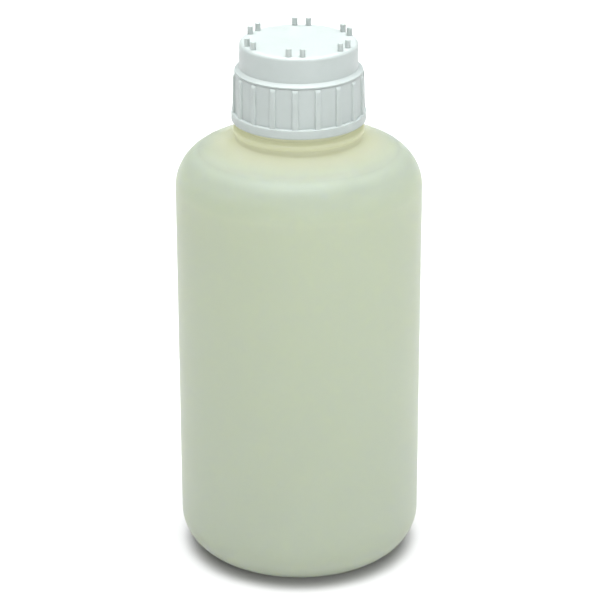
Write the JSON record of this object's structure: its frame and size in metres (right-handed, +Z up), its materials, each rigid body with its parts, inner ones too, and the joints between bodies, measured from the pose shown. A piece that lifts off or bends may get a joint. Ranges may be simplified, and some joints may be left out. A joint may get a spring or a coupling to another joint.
{
  "type": "reagent bottle",
  "caption": "Round heavy-wall laboratory bottle with a rounded shoulder, a threaded neck and a ribbed screw cap with wrench pegs that presses a flat sealing gasket on the lip.",
  "frame": {"origin": "centre of the base, on the surface that the bottle stands on", "axes": "+Z up along the bottle's axis; -Y faces the viewer; the mould's parting plane is XZ"},
  "size_m": [0.122, 0.122, 0.2737],
  "materials": {
    "natural_plastic": "milky translucent natural polypropylene, soft gloss",
    "white_plastic": "opaque white polypropylene, fine satin",
    "seal": "off-white soft thermoplastic elastomer"
  },
  "bodies": {
    "bottle_body": {"bottle": "natural_plastic"},
    "seal_body": {"gasket": "seal"},
    "cap_body": {"screw_cap": "white_plastic"}
  },
  "joints": [
    {"name": "thread_lift", "type": "slide", "parent": "bottle_body", "child": "seal_body", "axis": [0, 0, 1], "range_m": [0, 0.0391]},
    {"name": "cap_turn", "type": "hinge", "parent": "seal_body", "child": "cap_body", "pos_m": [0, 0, 0.24999], "axis": [0, 0, 1], "range_deg": [0, 2340]}
  ],
  "couplings": [
    {"joint": "thread_lift", "follows": "cap_turn", "m_per_rad": 0.00095493}
  ]
}
